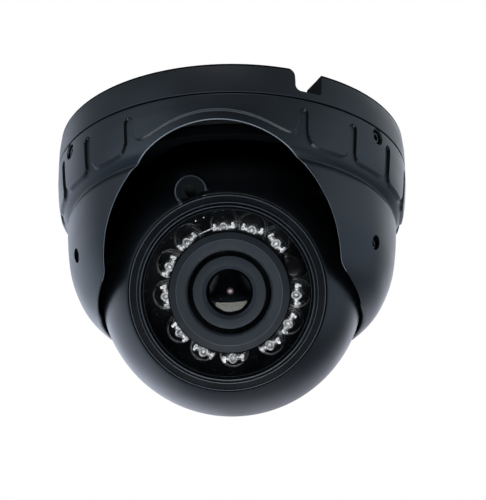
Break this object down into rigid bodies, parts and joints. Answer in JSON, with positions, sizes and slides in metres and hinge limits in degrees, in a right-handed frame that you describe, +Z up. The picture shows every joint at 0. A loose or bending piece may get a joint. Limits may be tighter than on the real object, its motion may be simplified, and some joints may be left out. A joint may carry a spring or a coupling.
{
  "type": "dome cctv camera",
  "caption": "Small metal dome camera for a ceiling: base with cable notch, turning cover with arch, tilting ball with ring of infra-red LEDs round a focusing lens.",
  "frame": {"origin": "centre of the base's ceiling face, on the pan axis", "axes": "+Z up into the ceiling along the pan axis; the cover's arch faces -Y at rest; +X to the right seen from the front"},
  "size_m": [0.0702, 0.0702, 0.0568],
  "materials": {
    "housing_paint": "satin",
    "ball_paint": "satin",
    "set_screw_steel": "satin",
    "zinc_screw_steel": "satin",
    "black_rubber": "matte",
    "shroud_rubber": "matte",
    "black_nylon": "satin",
    "window_glass": "polished",
    "lens_glass": "polished",
    "filter_glass": "polished",
    "led_epoxy": "gloss",
    "sensor_epoxy": "gloss",
    "lens_black": "satin",
    "brass": "satin",
    "led_board": "satin",
    "main_board": "satin",
    "chip": "matte",
    "white_nylon": "satin"
  },
  "bodies": {
    "base": {"mounting_base": "housing_paint", "base_o_ring": "black_rubber", "cable_grommet": "black_rubber"},
    "cover": {"cover": "housing_paint", "cover_lock_screw_left": "set_screw_steel", "cover_lock_screw_right": "set_screw_steel", "cover_lock_screw_rear": "set_screw_steel", "ball_lock_screw_left": "set_screw_steel", "ball_lock_screw_right": "set_screw_steel", "ball_retainer_left": "black_nylon", "ball_retainer_right": "black_nylon", "retainer_screw_1": "zinc_screw_steel", "retainer_screw_2": "zinc_screw_steel", "retainer_screw_3": "zinc_screw_steel", "retainer_screw_4": "zinc_screw_steel"},
    "ball": {"ball_front_shell": "ball_paint", "ball_rear_shell": "ball_paint", "bezel_ring": "ball_paint", "ball_screw_1": "zinc_screw_steel", "ball_screw_2": "zinc_screw_steel", "ball_screw_3": "zinc_screw_steel", "board_screw_1": "zinc_screw_steel", "board_screw_2": "zinc_screw_steel", "board_screw_3": "zinc_screw_steel", "microphone": "zinc_screw_steel", "ball_o_ring": "black_rubber", "window_gasket": "black_rubber", "cable_gland": "black_rubber", "lens_shroud": "shroud_rubber", "window_glass": "window_glass", "ir_cut_filter": "filter_glass", "ir_led_01": "led_epoxy", "ir_led_02": "led_epoxy", "ir_led_03": "led_epoxy", "ir_led_04": "led_epoxy", "ir_led_05": "led_epoxy", "ir_led_06": "led_epoxy", "ir_led_07": "led_epoxy", "ir_led_08": "led_epoxy", "ir_led_09": "led_epoxy", "ir_led_10": "led_epoxy", "ir_led_11": "led_epoxy", "ir_led_12": "led_epoxy", "light_sensor": "sensor_epoxy", "lens_holder": "lens_black", "board_spacer_1": "brass", "board_spacer_2": "brass", "board_spacer_3": "brass", "board_spacer_4": "brass", "led_board": "led_board", "main_board": "main_board", "image_processor": "chip", "image_sensor": "chip", "board_connector": "white_nylon"},
    "lens": {"lens_barrel": "lens_black", "lens_front_glass": "lens_glass", "lens_rear_glass": "lens_glass", "lens_lock_ring": "brass"}
  },
  "joints": [
    {"name": "pan", "type": "hinge", "parent": "base", "child": "cover", "pos_m": [0, 0, 0], "axis": [0, 0, 1], "range_deg": [-175, 175]},
    {"name": "tilt", "type": "hinge", "parent": "cover", "child": "ball", "pos_m": [0, 0, -0.0307], "axis": [0.999, 0.0436, 0], "range_deg": [-15, 45]},
    {"name": "focus", "type": "hinge", "parent": "ball", "child": "lens", "pos_m": [0.00019, 0.00013, -0.03092], "axis": [0.0379, -0.8674, -0.4962], "range_deg": [-180, 180]}
  ]
}
